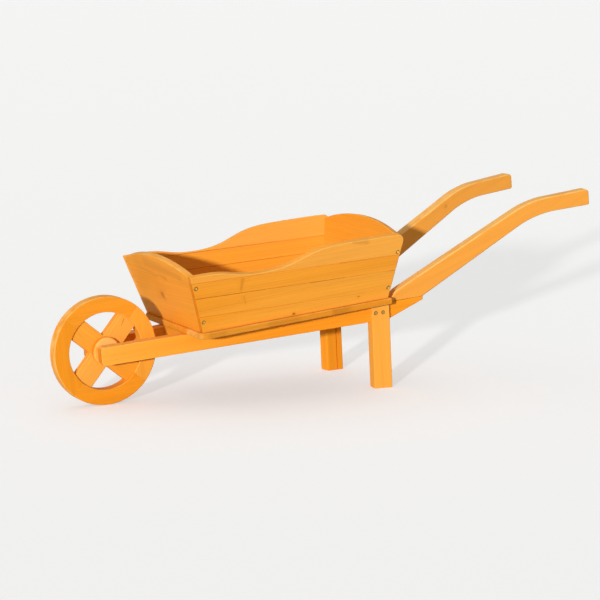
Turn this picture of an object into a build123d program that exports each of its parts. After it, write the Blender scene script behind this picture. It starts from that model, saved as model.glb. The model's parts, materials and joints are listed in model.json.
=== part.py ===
from build123d import *

import os
from math import cos, radians, sin, sqrt, tan

# A wooden wheelbarrow planter. +X runs from the wheel to the handles, +Z is up, and the ground is z = 0.
# Everything is laid out from the axle and moved at the end, so that the origin is the middle of the footprint.
# "Left" is the left hand of someone at the handles, which is the -Y side.

# Wheel
wheel_diameter = 236.0
wheel_thick = 28.0
rim_depth = 34.0
spoke_width = 48.0
spoke_thick = 18.0
spoke_seat = 10.0
spoke_turn = 51.0
hub_diameter = 62.0
hub_clearance = 0.9
hub_easing = 3.0
axle_diameter = 12.0
axle_seat = 18.0
running_clearance = 0.06
wheel_easing = 2.0

# Rails, measured along the rail from the axle
rail_thick = 28.0
rail_height = 40.0
rail_below_axle = 23.5
rail_gap = 50.6
rail_splay = 6.3
rail_slope = 5.25
rail_nose = 26.0
rail_nose_round = 9.0
tail_cut = 88.0
tail_blunt = 7.5
timber_easing = 2.0

# Handles, measured along the rail from their toe behind the tray, and up from the rail's top edge
handle_gap = 2.5
handle_seat = 85.7
handle_heel = 1.0
root_bevel = 43.5
root_height = 21.5
root_round = 8.0
knee_run = 362.2
knee_height = 176.0
knee_round_top = 195.0
knee_round_under = 200.0
handle_under_rise = 26.5
grip_length = 149.5
grip_depth = 36.5
grip_rise_top = 2.9
grip_rise_under = 1.5
grip_round_top = 9.0
grip_round_under = 5.0
handle_easing = 3.5
dowel_diameter = 8.0
dowel_length = 24.0
dowel_first = 22.0
dowel_pitch = 32.0

# Legs, set forward from the tray's end to their middle
leg_setback = 11.8
leg_width = 42.5
leg_thick = 28.0
leg_proud = 9.0
leg_tongue = 14.0
leg_lean = 3.0
groove_width = 3.0
groove_depth = 4.0
groove_from_back = 15.5

# Tray, measured along the rails' slope from the axle, and its walls up their own slant
floor_thick = 14.0
floor_lip = 7.0
floor_corner_front = 20.0
floor_corner_back = 4.0
floor_easing = 3.0
floor_boards = 4
drain_diameter = 12.0
drain_offset = 26.0
drain_rows = 3
tray_start = 171.0
tray_length = 452.0
tray_width = 292.0
tray_flare = 14.0
wall_thick = 14.0
wall_easing = 2.0
rim_front = 133.0
rim_dip = 116.0
rim_dip_at = 140.0
rim_crest = 149.5
rim_crest_at = 330.0
rim_rear = 145.0
rim_rear_round = 15.0
arch_rise = 25.0
back_corner = 140.0
seam_heights = (28.5, 72.5, 108.5)
seam_tilt = 2.15
seam_bevel = 0.9

# Screws, and the clearance of holes for screws and dowels
hole_clearance = 0.1
screw_head = 8.6
screw_shank = 4.0
corner_screw_length = 45.0
corner_screw_heights = (24.5, 106.0)
leg_screw_length = 34.0
leg_screws_from_front = (10.0, 27.5)
floor_screw_length = 35.0
floor_screws_per_side = 3
front_screw_offset = 100.0
back_screw_offset = 60.0
rail_screw_length = 40.0
rail_screws_per_rail = 3

# Sizes that follow from those above
slope = radians(rail_slope)
splay = radians(rail_splay)
flare = radians(tray_flare)
wheel_radius = wheel_diameter / 2
rim_inner = wheel_radius - rim_depth
spoke_reach = rim_inner + spoke_seat
bore_radius = axle_diameter / 2 + running_clearance
hub_thick = rail_gap / 2 - hub_diameter / 2 * tan(splay) - spoke_thick / 2 - hub_clearance
rail_under = -rail_below_axle
rail_top = rail_under + rail_height
rail_outer_y = rail_gap / 2 + rail_thick / cos(splay)
housing_depth = leg_tongue - leg_proud
floor_top = rail_top + floor_thick
tray_end = tray_start + tray_length
half_foot = tray_width / 2
half_floor = half_foot + floor_lip
floor_start = tray_start - floor_lip
floor_end = tray_end + floor_lip
foot_depth = wall_thick / cos(flare)
handle_toe = floor_end / cos(splay) + handle_gap
rail_tail = handle_toe + handle_seat
knee_reach = handle_toe + knee_run
grip_reach = knee_reach + grip_length
leg_at = tray_end / cos(splay) - leg_setback

# The deck is the sloping plane of the rails with the axle as its origin. The left rail has a frame of its own in it:
# x along the rail, y from its outer face inwards and z up from the axle.
deck = Plane((0, 0, wheel_radius), x_dir=(cos(slope), 0, sin(slope)), z_dir=(-sin(slope), 0, cos(slope))).location
left_rail = Plane((0, -rail_outer_y, 0), x_dir=(cos(splay), -sin(splay), 0), z_dir=(0, 0, 1)).location

# The planes of the tray's walls in the deck's frame, each facing outwards with its own y up the slant
left_wall = Plane((tray_start, -half_foot, floor_top), x_dir=(1, 0, 0), z_dir=(0, -cos(flare), -sin(flare)))
right_wall = Plane((tray_end, half_foot, floor_top), x_dir=(-1, 0, 0), z_dir=(0, cos(flare), -sin(flare)))
front_wall = Plane((tray_start, 0, floor_top), x_dir=(0, -1, 0), z_dir=(-cos(flare), 0, -sin(flare)))
back_wall = Plane((tray_end, 0, floor_top), x_dir=(0, 1, 0), z_dir=(cos(flare), 0, -sin(flare)))
floor_plane = Plane((0, 0, floor_top))


def board(outline, thick):
    """A flat piece cut to an outline in the XZ plane, from y = 0 to y = thick."""
    return extrude(Plane.XZ * make_face(outline), amount=-thick)


def face_edges(piece):
    """The edges around both broad faces of a piece made by board."""
    rows = piece.edges().group_by(Axis.Y)
    return rows[0] + rows[-1]


def other_side(piece):
    """The same piece for the right-hand side."""
    return mirror(piece, about=Plane.XZ)


def line_crossing(point, rise, other, other_rise):
    """Where two lines in a plane cross, each given by a point and its rise in degrees."""
    gradient = tan(radians(rise))
    other_gradient = tan(radians(other_rise))
    x = (other[1] - point[1] + gradient * point[0] - other_gradient * other[0]) / (gradient - other_gradient)
    return x, point[1] + gradient * (x - point[0])


def screw(length, clearance=0.0):
    """A countersunk screw with its head's face at z = 0 and its tip down, or with a clearance the hole for it."""
    head = screw_head / 2 + clearance
    shank = screw_shank / 2 + clearance
    tip = -length - clearance
    profile = Polyline((0, 0), (head, 0), (shank, shank - head), (shank, tip), (0, tip), close=True)
    return revolve(Plane.XZ * make_face(profile), Axis.Z)


def screws_at(places, length, clearance=0.0):
    """A screw, or the hole for one, at each place."""
    return [place * screw(length, clearance) for place in places]


def group(pieces):
    """Separate solids that share one node."""
    return Compound(children=[piece.solid() for piece in pieces])


def make_spoke_blank(turn):
    """A spoke board before it is jointed and drilled, through the axle and turned in the wheel's plane."""
    return Pos(0, 0, wheel_radius) * Rot(0, -turn, 0) * Box(2 * spoke_reach, spoke_thick, spoke_width)


def make_felloe(start, spoke_blanks):
    """A quarter of the rim, with half a pocket at each end for the spokes."""
    outer = CenterArc((0, 0), wheel_radius, start, 90)
    inner = CenterArc((0, 0), rim_inner, start, 90)
    ends = [Line(outer @ at, inner @ at) for at in (0, 1)]
    blank = extrude(Plane.XZ * make_face([outer, inner, *ends]), amount=wheel_thick / 2, both=True)
    blank = fillet(blank.edges().filter_by(GeomType.CIRCLE), wheel_easing)
    return Pos(0, 0, wheel_radius) * blank - spoke_blanks


def make_spoke(turn, lap_side):
    """A spoke board, half-lapped at the middle on one face and bored for the axle."""
    blank = Box(2 * spoke_reach, spoke_thick, spoke_width)
    blank = fillet(blank.edges().filter_by(Axis.X), wheel_easing)
    lap = Pos(0, lap_side * spoke_thick / 4, 0) * Box(spoke_width, spoke_thick / 2, spoke_width)
    bore = Rot(90, 0, 0) * Cylinder(bore_radius, 2 * spoke_thick)
    return Pos(0, 0, wheel_radius) * Rot(0, -turn, 0) * (blank - lap - bore)


def make_hub_disc(side):
    """A round disc on one face of the spokes, which keeps the wheel clear of the rail."""
    disc = Cylinder(hub_diameter / 2, hub_thick)
    disc = chamfer(disc.edges().sort_by(Axis.Z)[-1], hub_easing)
    disc = disc - Cylinder(bore_radius, 2 * hub_thick)
    return Pos(0, side * (spoke_thick + hub_thick) / 2, wheel_radius) * Rot(-90 * side, 0, 0) * disc


def make_axle(clearance=0.0):
    """The rod that the wheel turns on, or with a clearance the hole for it."""
    half_length = rail_gap / 2 + axle_seat + clearance
    return Pos(0, 0, wheel_radius) * Rot(90, 0, 0) * Cylinder(axle_diameter / 2 + clearance, 2 * half_length)


def make_rail_blank():
    """A rail in its own frame, with a rounded nose and a tail that tapers from below, before it is jointed."""
    outline = FilletPolyline(
        (-rail_nose, rail_under),
        (-rail_nose, rail_top),
        (rail_tail, rail_top),
        (rail_tail, rail_top - tail_blunt),
        (rail_tail - tail_cut, rail_under),
        radius=[rail_nose_round, rail_nose_round, 0, timber_easing, 0],
        close=True,
    )
    return board(outline, rail_thick)


def make_leg_blank():
    """A leg in the rail's frame, as a straight post that is longer than it has to be at both ends."""
    reach = 2 * wheel_diameter
    post = Pos(0, leg_thick / 2 - leg_proud, 0) * Box(leg_width, leg_thick, 2 * reach)
    post = fillet(post.edges().filter_by(Axis.Z), timber_easing)
    groove_y = leg_thick - leg_proud - groove_depth / 2
    groove = Pos(leg_width / 2 - groove_from_back, groove_y, 0) * Box(groove_width, groove_depth, 2 * reach)
    return Pos(leg_at, 0, (rail_under + rail_top) / 2) * Rot(0, rail_slope - leg_lean, 0) * (post - groove)


def make_housing():
    """The shallow trench across a rail's outer face that takes the leg."""
    reach = 2 * rail_height
    trench = Pos(0, housing_depth / 2, 0) * Box(leg_width, housing_depth, 2 * reach)
    return Pos(leg_at, 0, (rail_under + rail_top) / 2) * Rot(0, rail_slope - leg_lean, 0) * trench


def make_handle():
    """A bent handle in the rail's frame: a bevelled root on the rail's tail, a tapering rise, a knee and a grip."""
    toe = (handle_toe, 0)
    shoulder = (handle_toe + root_height / tan(radians(root_bevel)), root_height)
    knee_top = (knee_reach, knee_height)
    tip_top = (grip_reach, knee_height + grip_length * tan(radians(grip_rise_top)))
    tip_under = (grip_reach, tip_top[1] - grip_depth)
    heel = (rail_tail + handle_heel, 0)
    knee_under = line_crossing(heel, handle_under_rise, tip_under, grip_rise_under)
    outline = FilletPolyline(
        toe,
        shoulder,
        knee_top,
        tip_top,
        tip_under,
        knee_under,
        heel,
        radius=[0, root_round, knee_round_top, grip_round_top, grip_round_under, knee_round_under, 0],
        close=True,
    )
    blank = board(outline, rail_thick)
    eased = [edge for edge in face_edges(blank) if edge.center().Z > handle_easing]
    return Pos(0, 0, rail_top) * fillet(eased, handle_easing)


def make_floor(holes):
    """The floor in the deck's frame, from the left: boards that are glued edge to edge, rounded off as one panel."""
    middle = Pos((floor_start + floor_end) / 2, 0, rail_top + floor_thick / 2)
    plan = Rectangle(floor_end - floor_start, 2 * half_floor)
    plan = fillet(plan.vertices().group_by(Axis.X)[0], floor_corner_front)
    plan = fillet(plan.vertices().group_by(Axis.X)[-1], floor_corner_back)
    panel = extrude(plan, amount=floor_thick / 2, both=True)
    panel = fillet(panel.faces().filter_by(Plane.XY).edges(), floor_easing)
    drains = GridLocations(tray_length / drain_rows, 2 * drain_offset, drain_rows, 2)
    panel = middle * (panel - [drain * Cylinder(drain_diameter / 2, 2 * floor_thick) for drain in drains])
    panel = panel - holes
    boards = []
    for number in range(1, floor_boards):
        seam = Plane((0, -half_floor + 2 * half_floor * number / floor_boards, 0), z_dir=(0, 1, 0))
        boards.append(split(panel, bisect_by=seam, keep=Keep.BOTTOM))
        panel = split(panel, bisect_by=seam, keep=Keep.TOP)
    return [*boards, panel]


def level_curve(start, end):
    """A curve that leaves one point level and reaches the other level."""
    middle = (start[0] + end[0]) / 2
    return Bezier(start, (middle, start[1]), (middle, end[1]), end)


def make_left_side(holes):
    """The left wall in the deck's frame, from the floor up: glued boards with an S-shaped top edge."""
    overrun = rim_crest * sin(flare) + wall_thick
    bottom = -wall_thick * tan(flare)
    front_end = (-overrun, rim_front)
    hollow_start = (0, rim_front)
    dip = (rim_dip_at, rim_dip)
    crest = (rim_crest_at, rim_crest)
    rear_end = (tray_length + overrun, rim_rear)
    rim = [
        Line(front_end, hollow_start),
        level_curve(hollow_start, dip),
        level_curve(dip, crest),
        Bezier(crest, (tray_length, rim_crest), rear_end),
    ]
    cut = Polyline(rear_end, (tray_length + overrun, bottom), (-overrun, bottom), front_end)
    panel = extrude(left_wall * make_face([*rim, cut]), amount=-wall_thick)
    panel = split(panel, bisect_by=floor_plane, keep=Keep.TOP)
    panel = split(panel, bisect_by=front_wall, keep=Keep.BOTTOM)
    panel = split(panel, bisect_by=back_wall, keep=Keep.BOTTOM)
    rear_corner = left_wall.from_local_coords(Vector(tray_length + rim_rear * sin(flare), rim_rear, -wall_thick / 2))
    panel = fillet(panel.edges().sort_by_distance(rear_corner)[0], rim_rear_round)
    crest_at = [left_wall.from_local_coords(Vector(*crest, -depth)) for depth in (0, wall_thick)]
    panel = fillet([panel.edges().sort_by_distance(point)[0] for point in crest_at], wall_easing)
    panel = panel - holes
    boards = []
    for height in seam_heights:
        on_seam = left_wall.location * Pos(tray_length / 2, height, 0) * Rot(0, 0, -seam_tilt)
        seam = Plane(on_seam * Rot(-90, 0, 0))
        vee = on_seam * Rot(45, 0, 0) * Box(2 * tray_length, seam_bevel * sqrt(2), seam_bevel * sqrt(2))
        boards.append(split(panel, bisect_by=seam, keep=Keep.BOTTOM) - vee)
        panel = split(panel, bisect_by=seam, keep=Keep.TOP) - vee
    return [*boards, panel]


def make_end_panel(wall, corner_height, holes):
    """The front or back wall in the deck's frame: one board between the sides, with an arched top edge."""
    corner = half_foot - foot_depth + corner_height * sin(flare)
    arch_radius = (corner**2 + arch_rise**2) / (2 * arch_rise)
    reach = corner + wall_thick
    reach_height = corner_height + arch_rise - arch_radius + sqrt(arch_radius**2 - reach**2)
    bottom = -wall_thick * tan(flare)
    arch = ThreePointArc((-reach, reach_height), (0, corner_height + arch_rise), (reach, reach_height))
    cut = Polyline(arch @ 1, (reach, bottom), (-reach, bottom), arch @ 0)
    panel = extrude(wall * make_face([arch, cut]), amount=-wall_thick)
    panel = fillet(panel.edges().filter_by(GeomType.CIRCLE), wall_easing)
    panel = split(panel, bisect_by=floor_plane, keep=Keep.TOP)
    for side_wall in (left_wall, right_wall):
        panel = split(panel, bisect_by=side_wall.offset(-wall_thick), keep=Keep.BOTTOM)
    return panel - holes


def spread(start, length, count):
    """Evenly spaced places along a length, half a space from its ends."""
    return [start + length * (number + 0.5) / count for number in range(count)]


def corner_screw_places():
    """The screws through the left wall, into the middle of the end panels' edges."""
    inset = foot_depth / 2
    places = []
    for height in corner_screw_heights:
        places.append(left_wall.location * Pos(inset - height * sin(flare), height, 0))
        places.append(left_wall.location * Pos(tray_length - inset + height * sin(flare), height, 0))
    return places


def floor_screw_places():
    """The screws up through the floor into the feet of the walls, for the left half of the tray."""
    inset = foot_depth / 2 - (floor_screw_length - floor_thick) / 2 * tan(flare)
    spots = [(x, -half_foot + inset) for x in spread(tray_start, tray_length, floor_screws_per_side)]
    spots.append((tray_start + inset, -front_screw_offset))
    spots.append((tray_end - inset, -back_screw_offset))
    return [Pos(x, y, rail_top) * Rot(180, 0, 0) for x, y in spots]


def rail_screw_places():
    """The screws down through the floor into the left rail."""
    spots = spread(tray_start, tray_length, rail_screws_per_rail)
    middle_y = rail_outer_y - rail_thick / 2 / cos(splay)
    return [Pos(x, -middle_y - x * tan(splay), floor_top) for x in spots]


def leg_screw_places():
    """The screws through the left leg's tongue into the rail, in the rail's frame."""
    at_leg = Pos(leg_at, 0, (rail_under + rail_top) / 2) * Rot(0, rail_slope - leg_lean, 0)
    return [at_leg * Pos(inset - leg_width / 2, -leg_proud, 0) * Rot(90, 0, 0) for inset in leg_screws_from_front]


def dowel_places():
    """The dowels across the joint of the left rail and handle, in the rail's frame."""
    return [Pos(handle_toe + dowel_first + number * dowel_pitch, rail_thick / 2, rail_top) for number in range(2)]


nodes = {}

# The wheel
spoke_turns = (spoke_turn, spoke_turn - 90)
spoke_blanks = [make_spoke_blank(turn) for turn in spoke_turns]
for number in range(4):
    nodes[f"rim_felloe_{number + 1}"] = make_felloe(spoke_turn + 90 * number, spoke_blanks)
for number, lap_side in ((0, 1), (1, -1)):
    nodes[f"spoke_bar_{number + 1}"] = make_spoke(spoke_turns[number], lap_side)
nodes["hub_disc_left"] = make_hub_disc(-1)
nodes["hub_disc_right"] = make_hub_disc(1)
axle = make_axle()
nodes["axle"] = axle

# The rails, legs and handles
axle_hole = make_axle(running_clearance)
on_left_rail = deck * left_rail
rail_screws = [deck * piece for piece in screws_at(rail_screw_places(), rail_screw_length)]
rail_screw_holes = screws_at(rail_screw_places(), rail_screw_length, hole_clearance)
leg_screws = [on_left_rail * piece for piece in screws_at(leg_screw_places(), leg_screw_length)]
leg_screw_holes = screws_at(leg_screw_places(), leg_screw_length, hole_clearance)
dowels = [on_left_rail * place * Cylinder(dowel_diameter / 2, dowel_length) for place in dowel_places()]
dowel_holes = [
    place * Cylinder(dowel_diameter / 2 + hole_clearance, dowel_length + 2 * hole_clearance)
    for place in dowel_places()
]

rail_blank = make_rail_blank()
housing = make_housing()
rail = fillet(face_edges(rail_blank), timber_easing) - housing - leg_screw_holes - dowel_holes
rail = on_left_rail * rail - axle_hole - [deck * hole for hole in rail_screw_holes]

leg = make_leg_blank() - (rail_blank - housing) - leg_screw_holes
leg = deck * split(left_rail * leg, bisect_by=Plane((0, 0, rail_top)), keep=Keep.BOTTOM)
leg = split(leg, bisect_by=Plane.XY, keep=Keep.TOP)

handle = on_left_rail * (make_handle() - dowel_holes)
for name, piece in (("rail", rail), ("leg", leg), ("handle", handle)):
    nodes[f"{name}_left"] = piece
    nodes[f"{name}_right"] = other_side(piece)
nodes["leg_screws"] = group(leg_screws + [other_side(piece) for piece in leg_screws])
nodes["handle_dowels"] = group(dowels + [other_side(piece) for piece in dowels])

# The tray
corner_screws = screws_at(corner_screw_places(), corner_screw_length)
corner_screw_holes = screws_at(corner_screw_places(), corner_screw_length, hole_clearance)
floor_screws = screws_at(floor_screw_places(), floor_screw_length)
floor_screw_holes = screws_at(floor_screw_places(), floor_screw_length, hole_clearance)
left_holes = corner_screw_holes + floor_screw_holes
tray_holes = left_holes + [other_side(hole) for hole in left_holes]
floor_holes = floor_screw_holes + rail_screw_holes
floor_holes = floor_holes + [other_side(hole) for hole in floor_holes]

for number, piece in enumerate(make_floor(floor_holes), 1):
    nodes[f"floor_board_{number}"] = deck * piece
for number, piece in enumerate(make_left_side(left_holes), 1):
    nodes[f"side_left_board_{number}"] = deck * piece
    nodes[f"side_right_board_{number}"] = other_side(deck * piece)
nodes["front_panel"] = deck * make_end_panel(front_wall, rim_front, tray_holes)
nodes["back_panel"] = deck * make_end_panel(back_wall, back_corner, tray_holes)
for name, pieces in (("corner_screws", corner_screws), ("floor_screws", floor_screws)):
    nodes[name] = deck * group(pieces + [other_side(piece) for piece in pieces])
nodes["rail_screws"] = group(rail_screws + [other_side(piece) for piece in rail_screws])

# The origin goes to the middle of the footprint
reach = nodes["handle_left"].bounding_box().max.X
centred = Pos((wheel_radius - reach) / 2, 0, 0)
os.makedirs("parts", exist_ok=True)
for name, piece in nodes.items():
    export_step(centred * piece, f"parts/{name}.step")
print(f"axle at x = {(wheel_radius - reach) / 2:.3f}, z = {wheel_radius:.3f}, length = {wheel_radius + reach:.2f}")
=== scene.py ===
import json
import random
from math import asin, cos, degrees, hypot, pi, radians, sin, tan

import bmesh
import bpy
from mathutils import Matrix, Vector
from mathutils.geometry import interpolate_bezier, intersect_line_line


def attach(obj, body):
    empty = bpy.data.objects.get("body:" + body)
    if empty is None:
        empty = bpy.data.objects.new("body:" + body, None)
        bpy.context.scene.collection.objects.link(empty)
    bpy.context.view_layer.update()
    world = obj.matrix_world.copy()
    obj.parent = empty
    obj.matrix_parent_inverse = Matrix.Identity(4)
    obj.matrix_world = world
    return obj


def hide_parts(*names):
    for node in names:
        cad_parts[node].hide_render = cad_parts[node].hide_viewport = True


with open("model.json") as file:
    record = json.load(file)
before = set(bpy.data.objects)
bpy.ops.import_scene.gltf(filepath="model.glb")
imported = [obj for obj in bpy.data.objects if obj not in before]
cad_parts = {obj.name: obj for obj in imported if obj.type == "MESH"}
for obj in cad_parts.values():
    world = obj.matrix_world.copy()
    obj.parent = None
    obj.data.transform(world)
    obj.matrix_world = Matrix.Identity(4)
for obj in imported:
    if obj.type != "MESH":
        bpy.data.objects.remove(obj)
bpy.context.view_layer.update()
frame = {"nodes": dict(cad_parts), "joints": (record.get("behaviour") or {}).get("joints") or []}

# Rails: two straight spruce battens that come together at the wheel and carry the tray, legs and handles.
# Each is sawn to a rounded nose and to a tail that tapers from below, then rounded over and stained.
axle = Vector(frame["joints"][0]["pos_m"])
slope = radians(5.25)
splay = radians(6.3)
rail_thick = 0.028
rail_under = -0.0235
rail_top = 0.0165
rail_gap = 0.0506
rail_nose = 0.026
rail_nose_round = 0.009
tail_cut = 0.088
tail_blunt = 0.0075
tail_round = 0.002
timber_easing = 0.002
axle_radius = 0.006
axle_clearance = 0.00006
axle_seat = 0.018
tray_start = 0.171
tray_length = 0.452
floor_lip = 0.007
handle_gap = 0.0025
handle_seat = 0.0857
tray_end = tray_start + tray_length
handle_toe = (tray_end + floor_lip) / cos(splay) + handle_gap
rail_tail = handle_toe + handle_seat
rail_outer_y = rail_gap / 2 + rail_thick / cos(splay)
bore_radius = axle_radius + axle_clearance
arc_step = 3
arc_least_steps = 4
weld = 0.000001
pieces = []


def facing(origin, along, inwards):
    """The place of a board: its x runs along it, its y inwards from its outer face and its z up it."""
    along = Vector(along)
    inwards = Vector(inwards)
    turn = Matrix((along, inwards, along.cross(inwards))).transposed().to_4x4()
    return Matrix.Translation(origin) @ turn


deck = Matrix.Translation(axle) @ Matrix.Rotation(-slope, 4, "Y")
left_rail = deck @ facing((0, -rail_outer_y, 0), (cos(splay), -sin(splay), 0), (sin(splay), cos(splay), 0))
hands = {"left": Matrix.Identity(4), "right": Matrix.Diagonal((1, -1, 1, 1))}


def of_type(parts, kind):
    """The vertices or edges among what an operator made."""
    return [part for part in parts if isinstance(part, kind)]


def new_shape():
    """An empty shape with marks for worn corners and painted sheen, and for dirt in joints and painted shade
    in holes.
    """
    bm = bmesh.new()
    bm.verts.layers.float.new("arris")
    bm.verts.layers.float.new("grime")
    return bm


def face_outwards(bm):
    """Turns the faces of a closed shape outwards."""
    bmesh.ops.recalc_face_normals(bm, faces=bm.faces[:])


def bevel(bm, edges, offset, steps, clamp=False):
    """Cuts edges back by an offset, flat in one step or round in several."""
    return bmesh.ops.bevel(
        bm,
        geom=edges,
        offset=offset,
        offset_type="OFFSET",
        segments=steps,
        profile=0.5,
        affect="EDGES",
        material=-1,
        clamp_overlap=clamp,
    )


def round_off(bm, edge, radius):
    """Turns one corner of an outline into an arc."""
    turn = edge.calc_face_angle()
    bevel(bm, [edge], radius * tan(turn / 2), max(arc_least_steps, round(degrees(turn) / arc_step)))


def board(outline, thick):
    """A flat piece from y = 0 to y = thick, from corners (x, z), or (x, z, radius) where they are round."""
    bm = new_shape()
    corners = [bm.verts.new((corner[0], 0, corner[1])) for corner in outline]
    sawn = bmesh.ops.extrude_face_region(bm, geom=[bm.faces.new(corners)])["geom"]
    bmesh.ops.translate(bm, vec=(0, thick, 0), verts=of_type(sawn, bmesh.types.BMVert))
    face_outwards(bm)
    for vert, corner in zip(corners, outline):
        if len(corner) > 2:
            through = next(edge for edge in vert.link_edges if edge.other_vert(vert).co.y > thick / 2)
            round_off(bm, through, corner[2])
    return bm


def broad_edges(bm):
    """The edges around both broad faces of a board that is still in its own place."""
    square_on = 0.99
    bm.normal_update()
    edges = []
    for edge in bm.edges:
        if [abs(face.normal.y) > square_on for face in edge.link_faces].count(True) == 1:
            edges.append(edge)
    return edges


def mark(bm, kind, share, verts):
    """Marks vertices by a share, for wear and painted sheen, for dirt and painted shade, or for rubbing."""
    marks = bm.verts.layers.float[kind]
    for vert in verts:
        vert[marks] = share


def ease(bm, edges, easing, steps=3):
    """Rounds over edges and marks the middle of the round, where the stain wears thin."""
    made = bevel(bm, edges, easing, steps, clamp=True)
    rounded = set(made["faces"])
    mark(bm, "arris", 1, [vert for vert in made["verts"] if rounded.issuperset(vert.link_faces)])


def turned(profile, closed=False, steps=48):
    """A round piece: a profile of (radius, z) spun about the z axis, as a ring if the profile is closed."""
    bm = new_shape()
    points = [bm.verts.new((radius, 0, z)) for radius, z in profile]
    edges = [bm.edges.new(pair) for pair in zip(points, points[1:])]
    if closed:
        edges.append(bm.edges.new((points[-1], points[0])))
    bmesh.ops.spin(
        bm, geom=points + edges, cent=(0, 0, 0), axis=(0, 0, 1), angle=2 * pi, steps=steps, use_merge=True
    )
    bmesh.ops.remove_doubles(bm, verts=bm.verts[:], dist=weld)
    face_outwards(bm)
    return bm


def rod(radius, low, high):
    """A round cutter along the z axis."""
    return turned([(0, low), (radius, low), (radius, high), (0, high)])


def put(bm, place):
    """Moves a shape from its own place into the object's."""
    bmesh.ops.transform(bm, matrix=place, verts=bm.verts[:])
    return bm


def paint_top_sheen(bm, share):
    """Paints a pale sheen of the sky on what faces up on a piece, once it is in its place, by a share."""
    upwards = 0.6
    face_outwards(bm)
    bm.normal_update()
    mark(bm, "arris", share, [vert for vert in bm.verts if vert.normal.z > upwards])


def new_mesh(name, bm):
    """The mesh of a shape, which is used up."""
    mesh = bpy.data.meshes.new(name)
    bm.to_mesh(mesh)
    bm.free()
    return mesh


def new_object(name, data):
    """An object in the scene."""
    made = bpy.data.objects.new(name, data)
    bpy.context.scene.collection.objects.link(made)
    return made


def make_piece(node, finish, bm, body):
    """The object that stands for a CAD node, from a finished shape."""
    bmesh.ops.remove_doubles(bm, verts=bm.verts[:], dist=2 * weld)
    face_outwards(bm)
    name = f"{node}_{finish}"
    piece = new_object(name, new_mesh(name, bm))
    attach(piece, body)
    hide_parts(node)
    pieces.append(piece)
    return piece


def cut(piece, tool):
    """Cuts a joint or holes into a piece with a closed shape, which is used up."""
    face_outwards(tool)
    cutter = new_object("cutter", new_mesh("cutter", tool))
    joint = piece.modifiers.new("joint", "BOOLEAN")
    joint.operation = "DIFFERENCE"
    joint.solver = "EXACT"
    joint.object = cutter
    evaluated = piece.evaluated_get(bpy.context.evaluated_depsgraph_get())
    used_up = (piece.data, cutter.data)
    piece.data = bpy.data.meshes.new_from_object(evaluated)
    piece.modifiers.remove(joint)
    bpy.data.objects.remove(cutter)
    for mesh in used_up:
        bpy.data.meshes.remove(mesh)


def add_node(tree, kind, inputs, **settings):
    """A shader node with its settings, and its inputs set to values or linked to sockets."""
    node = tree.nodes.new("ShaderNode" + kind)
    for name, value in settings.items():
        setattr(node, name, value)
    for key, value in dict(inputs).items():
        if isinstance(value, bpy.types.NodeSocket):
            tree.links.new(value, node.inputs[key])
        else:
            node.inputs[key].default_value = value
    return node


def maths(tree, operation, *values):
    """A sum on values."""
    return add_node(tree, "Math", enumerate(values), operation=operation).outputs[0]


def vectors(tree, operation, *values):
    """A sum on vectors that gives a vector."""
    return add_node(tree, "VectorMath", enumerate(values), operation=operation).outputs["Vector"]


def measure(tree, operation, *values):
    """A sum on vectors that gives a value."""
    return add_node(tree, "VectorMath", enumerate(values), operation=operation).outputs["Value"]


def scale(tree, vector, factor):
    """A vector or colour times a value."""
    return add_node(tree, "VectorMath", {0: vector, "Scale": factor}, operation="SCALE").outputs["Vector"]


def noise(tree, coordinates, stretch, detail, roughness=0.5):
    """Noise from 0 to 1 with so many features a metre along, through and across, and finer ones on them."""
    inputs = {
        "Vector": vectors(tree, "MULTIPLY", coordinates, stretch),
        "Scale": 1,
        "Detail": detail,
        "Roughness": roughness,
    }
    return add_node(tree, "TexNoise", inputs).outputs["Fac"]


def ramp(tree, value, low, high, bottom=0.0, top=1.0):
    """A smooth step from one value to another."""
    inputs = {"Value": value, "From Min": low, "From Max": high, "To Min": bottom, "To Max": top}
    return add_node(tree, "MapRange", inputs, interpolation_type="SMOOTHSTEP").outputs["Result"]


def vary(tree, value, varied, depth):
    """A value that goes up and down with noise that varies about a half."""
    return maths(tree, "MULTIPLY_ADD", maths(tree, "SUBTRACT", varied, 0.5), depth, value)


def tint(tree, factor, under, over, blend="MIX"):
    """One colour laid over another by a factor."""
    inputs = {0: factor, 6: under, 7: over}
    return add_node(tree, "Mix", inputs, data_type="RGBA", blend_type=blend).outputs[2]


def new_group(name, inputs, outputs):
    """A shader node group with sockets that are listed by kind, and its two inner ends."""
    tree = bpy.data.node_groups.new(name, "ShaderNodeTree")
    for in_out, kinds in (("INPUT", inputs), ("OUTPUT", outputs)):
        for kind, sockets in kinds.items():
            for socket in sockets:
                tree.interface.new_socket(socket, in_out=in_out, socket_type="NodeSocket" + kind)
    return tree, tree.nodes.new("NodeGroupInput").outputs, tree.nodes.new("NodeGroupOutput").inputs


knot_squeeze = (0.8, 0, 1)
knot_taper = -0.6
knot_rag = ((240, 240, 240), 2)
knot_rag_depth = 1.0
knot_edge = 1.4
knot_core = 0.2
push_fall = -0.14


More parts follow.
